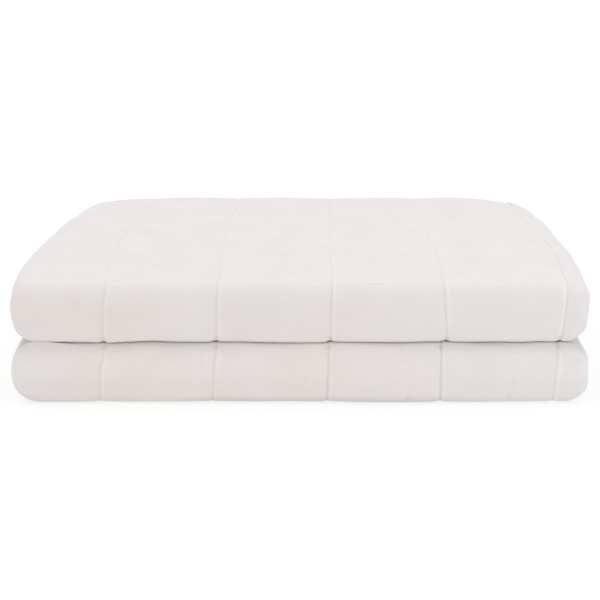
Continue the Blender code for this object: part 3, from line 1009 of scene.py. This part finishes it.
@dataclass(frozen=True)
class ClothFinish:
    """Ivory-white brushed microfibre: a fine close weave with a soft nap. Its tone carries painted shade and
    painted highlight beside the seams, painted shade and painted light round the lower roll, and painted
    shade lower down and towards the left.

    Each ramp is a range of places or of noise and the range of tones that it gives. The ramps of the lower
    roll begin with shares of the way round it.
    """

    plan: FoldPlan
    name: str = "ivory_white_brushed_cloth"
    colour: Colour = (0.785, 0.751, 0.746)
    # Warmer, darker tone used for the painted shade and its random patches.
    warm_shade_colour: Colour = (0.778, 0.727, 0.681)
    thread: float = 0.00042
    nap: float = 0.0011
    roughness: float = 0.90
    gloss: float = 0.22
    sheen: float = 0.12
    sheen_roughness: float = 0.55
    nap_relief: Two = (0.22, 0.00035)
    weave_relief: Two = (0.10, 0.00008)
    brush_noise: Two = (24.0, 3.0)
    patch_noise: Two = (13.0, 4.0)
    mottle_noise: Two = (38.0, 2.0)
    seam_shade_variation_noise: Two = (42.0, 2.0)
    speck: Ramp = ((0.3, 0.7), (0.978, 1.013))
    brushing: Ramp = ((0.34, 0.66), (0.985, 1.015))
    # Painted shade: where the warmer, darker tone comes in, by height and towards the left.
    painted_shade_below_top: Ramp = ((0.123, 0.100), (0.03, 0.50))
    painted_shade_on_lower_roll: Ramp = ((0.070, 0.040), (0.0, 0.28))
    painted_shade_to_left: Ramp = ((0.23, -0.10), (0.0, 1.0))
    patches: Ramp = ((0.32, 0.70), (0.15, 1.75))
    mottle: Ramp = ((0.30, 0.70), (-0.30, 0.30))
    whole: Ramp = ((0.0, 1.0), (0.0, 1.0))
    # Painted shade and painted highlight beside the seams: strengths, line places and widths, and where they
    # show.
    seam_painted_shade: float = 0.045
    seam_painted_highlight: float = 0.060
    painted_shade_line: Two = (-0.0011, 0.0021)
    painted_highlight_line: Two = (0.0019, 0.0026)
    seam_top: Two = (0.35, 0.08)
    seam_front: Ramp = ((-0.012, 0.022), (1.0, 0.0))
    seam_lower: Ramp = ((0.42, 0.52), (0.0, 1.0))
    seam_shade_variation: Ramp = ((0.25, 0.75), (0.55, 1.45))
    # Painted shade round the lower roll (shoulder under the upper roll, base, bottom edge) and painted light
    # on its front face.
    roll_painted_shoulder_shade: Ramp = ((0.70, 0.775), (0.0, -0.15))
    shoulder_shade_across: Ramp = ((0.06, 0.12), (0.45, 1.0))
    roll_painted_base_shade: Ramp = ((0.27, 0.16), (0.0, -0.085))
    roll_painted_edge_shade: Ramp = ((0.25, 0.195), (0.0, -0.09))
    roll_middle: Ramp = ((0.17, 0.10), (0.0, 1.0))
    roll_face: float = 0.55
    roll_face_reach: float = 0.022
    roll_face_painted_light: float = 0.035
    under_roll: Two = (0.12, 0.03)

    def make(self) -> bpy.types.Material:
        """Build the cloth's material."""
        material, nodes, shader = start_material(self.name)
        place = nodes.place()
        flat = nodes.add("UVMap", {}, "UV", uv_map="cloth")
        fibre = nodes.noise(place, 1.0 / self.nap, 3.0)
        # Tone: fibre specks, painted seam shade and highlight, and painted shade and light round the lower
        # roll.
        tone = fibre.span(self.speck) * self.painted_seam_light_and_shade(flat) * self.painted_roll_shade_and_light(flat)
        tone = tone * nodes.noise(place, *self.brush_noise).span(self.brushing)
        # Base colour with painted shade in warm random patches mixed in.
        colour = nodes.mix(self.colour, self.warm_shade_colour, self.warm_patches_and_painted_shade(place))
        warp, weft = (nodes.bands(flat, self.thread, way, Distortion=0.6, Detail=1.0) for way in "XY")
        weave = nodes.bump(warp.math("MAXIMUM", weft), *self.weave_relief)
        nodes.feed(shader, {
            "Base Color": nodes.add("VectorMath", {0: colour, "Scale": tone}, "Vector", operation="SCALE"),
            "Roughness": self.roughness,
            "Specular IOR Level": self.gloss,
            "Sheen Weight": self.sheen,
            "Sheen Roughness": self.sheen_roughness,
            "Normal": nodes.bump(fibre, *self.nap_relief, Normal=weave),
        })
        return material

    def warm_patches_and_painted_shade(self, place: Wire) -> Wire:
        """Share of the warmer, darker tone: painted shade below the top, on the lower roll and more towards
        the left, broken into soft random patches.
        """
        x, _, z = place.axes()
        patches = place.nodes.noise(place, *self.patch_noise).span(self.patches)
        mottle = place.nodes.noise(place, *self.mottle_noise).span(self.mottle)
        share = (z.span(self.painted_shade_below_top) + z.span(self.painted_shade_on_lower_roll)) * x.span(self.painted_shade_to_left)
        return (share * (patches + mottle)).span(self.whole)

    def painted_seam_light_and_shade(self, flat: Wire) -> Wire:
        """Painted shade on one side of each front-to-back seam and a painted highlight on the other, standing
        in for light falling across the sewn channels; the sides swap at the last seam on the upper part.
        """
        across, along, _ = flat.axes()
        seams, pocket = self.plan.seams(), self.plan.pocket
        wrapped = (across - float(seams[0])).math("WRAP", 0.5 * pocket, -0.5 * pocket)
        last = across.math("GREATER_THAN", float(seams[-1]) - 0.5 * pocket)
        beside = wrapped * (last * along.math("LESS_THAN", 0.5) * -2.0 + 1.0)
        top = across.away(self.plan.middle_seam).span(((1.2 * pocket, 1.8 * pocket), self.seam_top))
        front = along.span(self.seam_front).math("MAXIMUM", top)
        shade_variation = flat.nodes.noise(flat, *self.seam_shade_variation_noise).span(self.seam_shade_variation)
        strength = front.math("MAXIMUM", along.span(self.seam_lower)) * shade_variation
        # Painted highlight on one side of the seam, painted shade on the other.
        light = beside.band(*self.painted_highlight_line) * self.seam_painted_highlight
        dark = beside.band(*self.painted_shade_line) * self.seam_painted_shade
        return (light - dark) * strength + 1.0

    def painted_roll_shade_and_light(self, flat: Wire) -> Wire:
        """Painted shade round the lower roll: darker on its shoulder under the upper roll's lip, towards its
        base and along its bottom edge, with painted light on its front face.
        """
        across, along, _ = flat.axes()
        off = across.away(self.plan.middle_seam)
        start = self.plan.lower_fold_start
        # Painted shade on the shoulder under the upper roll, weaker near the middle seam.
        shoulder = self.round_roll(along, self.roll_painted_shoulder_shade) * off.span(self.shoulder_shade_across)
        edge = self.round_roll(along, self.roll_painted_edge_shade) * off.span(self.roll_middle)
        beneath = along.span(((start - self.under_roll[0], start - self.under_roll[1]), (0.0, 1.0)))
        base = (self.round_roll(along, self.roll_painted_base_shade) + edge) * beneath
        # Painted light in a band across the lower roll's front face.
        face = along.band(self.plan.lower_roll(self.roll_face), self.roll_face_reach)
        painted_face_light = face * self.roll_face_painted_light
        return shoulder + base + painted_face_light + 1.0

    def round_roll(self, along: Wire, ramp: Ramp) -> Wire:
        """Tone that changes between two shares of the way round the lower roll."""
        (low, high), tones = ramp
        return along.span(((self.plan.lower_roll(low), self.plan.lower_roll(high)), tones))


@dataclass(frozen=True)
class ThreadFinish:
    """Matching white polyester thread with a slight gloss and a visible twist."""

    name: str = "white_sewing_thread"
    colour: Colour = (0.83, 0.81, 0.80)
    hollow: float = 0.93
    twist: float = 0.0006
    roughness: float = 0.55

    def make(self) -> bpy.types.Material:
        """Build the thread's material."""
        material, nodes, shader = start_material(self.name)
        ply = nodes.bands(nodes.place(), self.twist, "DIAGONAL", Distortion=0.8)
        dark = tuple(part * self.hollow for part in self.colour)
        nodes.feed(shader, {
            "Base Color": nodes.mix(dark, self.colour, ply),
            "Roughness": self.roughness,
            "Normal": nodes.bump(ply, 0.3, 0.0001),
        })
        return material


@dataclass(frozen=True)
class FloorFinish:
    """Plain pale matt floor, lit from within like a light table so that shadows stay faint."""

    name: str = "pale_floor"
    colour: Colour = (0.32, 0.32, 0.32)
    grain: float = 1.01
    glow: float = 0.68

    def make(self) -> bpy.types.Material:
        """Build the floor's material."""
        material, nodes, shader = start_material(self.name)
        grain = nodes.add("TexNoise", {"Vector": nodes.place(), "Scale": 3.0}, "Fac")
        light = tuple(part * self.grain for part in self.colour)
        nodes.feed(shader, {
            "Base Color": nodes.mix(self.colour, light, grain),
            "Roughness": 0.95,
            "Specular IOR Level": 0.1,
            "Emission Color": (1.0, 1.0, 1.0, 1.0),
            "Emission Strength": self.glow,
        })
        return material


@dataclass(frozen=True)
class Softbox:
    """One square soft light, with its side length and its power in watts."""

    name: str
    place: tuple[float, float, float]
    size: float
    power: float

    def hang(self, target: Vector) -> None:
        """Hang the light so that it faces the target."""
        light = bpy.data.lights.new(self.name, "AREA")
        light.shape = "SQUARE"
        light.size = self.size
        light.energy = self.power
        lamp = bpy.data.objects.new(self.name, light)
        lamp.location = Vector(self.place)
        lamp.rotation_euler = (target - lamp.location).to_track_quat("-Z", "Y").to_euler()
        bpy.context.scene.collection.objects.link(lamp)


@dataclass
class Studio:
    """Plain floor, soft lights and the camera."""

    lens: float = 78.04
    camera_place: tuple[float, float, float] = (-0.00257, -1.49948, 0.47083)
    camera_pitch: float = 15.97
    low_sky: float = 0.52
    high_sky: float = 1.20
    left_sky: float = 0.14
    floor_size: float = 40.0
    target_height: float = 0.06
    lights: tuple[Softbox, ...] = (
        Softbox("right_softbox", (1.3, -1.0, 0.7), 0.6, 2.0),
        Softbox("overhead_softbox", (-0.4, 0.2, 3.0), 2.5, 6.0),
    )

    def floor(self) -> None:
        """Lay the floor under the object."""
        half = 0.5 * self.floor_size
        corners = [(-half, -half, 0.0), (half, -half, 0.0), (half, half, 0.0), (-half, half, 0.0)]
        floor = link_mesh("floor", corners, [(0, 1, 2, 3)])
        floor.data.materials.append(FloorFinish().make())

    def surroundings(self) -> bpy.types.World:
        """Make the white room, brighter overhead and a little brighter from the left."""
        world = bpy.data.worlds.new("white_room")
        world.use_nodes = True
        nodes = Nodes(world.node_tree)
        x, _, z = nodes.place("Generated").axes()
        overhead = z.span(((0.0, 1.0), (self.low_sky, self.high_sky)))
        sideways = x.span(((-1.0, 0.0), (self.left_sky, 0.0)))
        inputs = {"Color": (1.0, 1.0, 1.0, 1.0), "Strength": overhead + sideways}
        nodes.feed(world.node_tree.nodes["Background"], inputs)
        return world

    def build(self) -> None:
        """Set up floor, lights, surroundings and camera."""
        self.floor()
        for light in self.lights:
            light.hang(Vector((0.0, 0.0, self.target_height)))
        scene = bpy.context.scene
        scene.world = self.surroundings()
        scene.view_settings.view_transform = "Standard"
        camera = bpy.data.cameras.new("camera")
        camera.lens = self.lens
        camera.sensor_width = 36.0
        camera.clip_end = 100.0
        eye = bpy.data.objects.new("camera", camera)
        eye.location = Vector(self.camera_place)
        eye.rotation_euler = (math.radians(90.0 - self.camera_pitch), 0.0, 0.0)
        scene.collection.objects.link(eye)
        scene.camera = eye


@dataclass
class WeightedBlanket:
    """The finished object: quilted cloth and its thread."""

    plan: FoldPlan = field(default_factory=FoldPlan)

    def relief(self) -> QuiltRelief:
        """Quilting with this blanket's own creases and seam wandering."""
        drift = (
            ((-0.060, -0.0016), (-0.034, 0.0), (-0.006, 0.003), (0.050, 0.0005), (0.120, -0.0035),
             (0.200, -0.005), (0.380, -0.004), (1.050, -0.0075), (1.083, -0.0045), (1.104, 0.0)),
            ((-0.060, -0.0015), (-0.034, -0.001), (-0.006, 0.0), (0.120, -0.003), (0.240, -0.0015),
             (0.380, 0.0015), (1.050, -0.0065), (1.083, -0.004), (1.104, -0.002)),
            ((-0.060, 0.0), (-0.006, 0.0015), (0.120, 0.0025), (0.280, 0.0055), (0.380, 0.008),
             (1.050, -0.003), (1.104, -0.002)),
            ((-0.060, 0.0035), (-0.034, 0.002), (-0.010, 0.001), (0.050, 0.004), (0.280, 0.004),
             (0.380, 0.005), (1.050, -0.0005), (1.104, -0.002)),
            ((-0.060, 0.004), (-0.034, 0.006), (0.050, 0.0075), (0.160, 0.008), (0.280, 0.0035),
             (0.330, 0.0045), (0.390, 0.0095), (1.050, 0.0), (1.104, 0.001)),
        )
        return QuiltRelief(plan=self.plan, drift=drift, creases=self.creases())

    def creases(self) -> tuple[Crease, ...]:
        """Notches where seams cross into the crease between the rolls, and the few creases of this fold."""
        _top, lip, _base, shoulder = self.plan.corner_places()
        notches = []
        for seam in self.plan.seams():
            notches.append(Crease(float(seam) - 0.0010, lip, 0.007, 0.0034, 0.0022))
            notches.append(Crease(float(seam) - 0.0010, shoulder, 0.008, 0.0030, 0.0018))
        upright = (
            (0.1103, 1.0907, 0.024, 0.0018, 0.0008),
            (0.1112, 1.0480, 0.007, 0.0028, 0.0014),
            (0.2128, 1.0490, 0.009, 0.0018, 0.0014),
            (0.2155, 1.0620, 0.018, 0.0015, 0.0010, 12.0),
            (-0.0966, 1.0870, 0.028, 0.0012, 0.0009),
            (0.1420, 1.1006, 0.009, 0.0045, 0.0012),
            (-0.2440, -0.0360, 0.050, 0.0100, 0.0010, -50.0),
        )
        level = (
            (0.0766, -0.0063, 0.020, 0.0016, 0.0014, 90.0),
            (-0.0259, 0.0130, 0.014, 0.0022, -0.0009, 90.0),
            (0.1066, 0.0342, 0.016, 0.0026, 0.0011, 90.0),
            (-0.0930, -0.0053, 0.022, 0.0020, 0.0004, 90.0),
            (0.0094, 0.1560, 0.018, 0.0030, 0.0012, 90.0),
            (0.1807, 0.1560, 0.012, 0.0030, 0.0014, 90.0),
            (0.2002, 0.1162, 0.018, 0.0045, 0.0006, 80.0),
            (0.1949, 0.3479, 0.018, 0.0070, 0.0009, 95.0),
            (0.2320, 0.3752, 0.022, 0.0070, 0.0010, 110.0),
            (-0.0771, 0.2923, 0.018, 0.0060, 0.0007, 85.0),
            (-0.0665, 0.1992, 0.014, 0.0060, 0.0006, 95.0),
        )
        return (*notches, *(Crease(*row) for row in (*upright, *level)))

    def build(self) -> None:
        """Build and dress every piece."""
        cloth = QuiltedBlanket(plan=self.plan, relief=self.relief())
        blanket = cloth.build()
        blanket.data.materials.append(ClothFinish(plan=self.plan).make())
        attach(blanket, BODY)
        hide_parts(CAD_NODE)
        LOG.info("%s: %d faces", blanket.name, len(blanket.data.polygons))
        thread = QuiltingThread(blanket=cloth).build()
        thread.data.materials.append(ThreadFinish().make())
        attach(thread, BODY)
        LOG.info("%s: %d faces", thread.name, len(thread.data.polygons))


def main() -> None:
    """Build the blanket and the studio and report each piece."""
    logging.basicConfig(level=logging.INFO, format="%(message)s")
    WeightedBlanket().build()
    Studio().build()


if __name__ == "__main__":
    main()
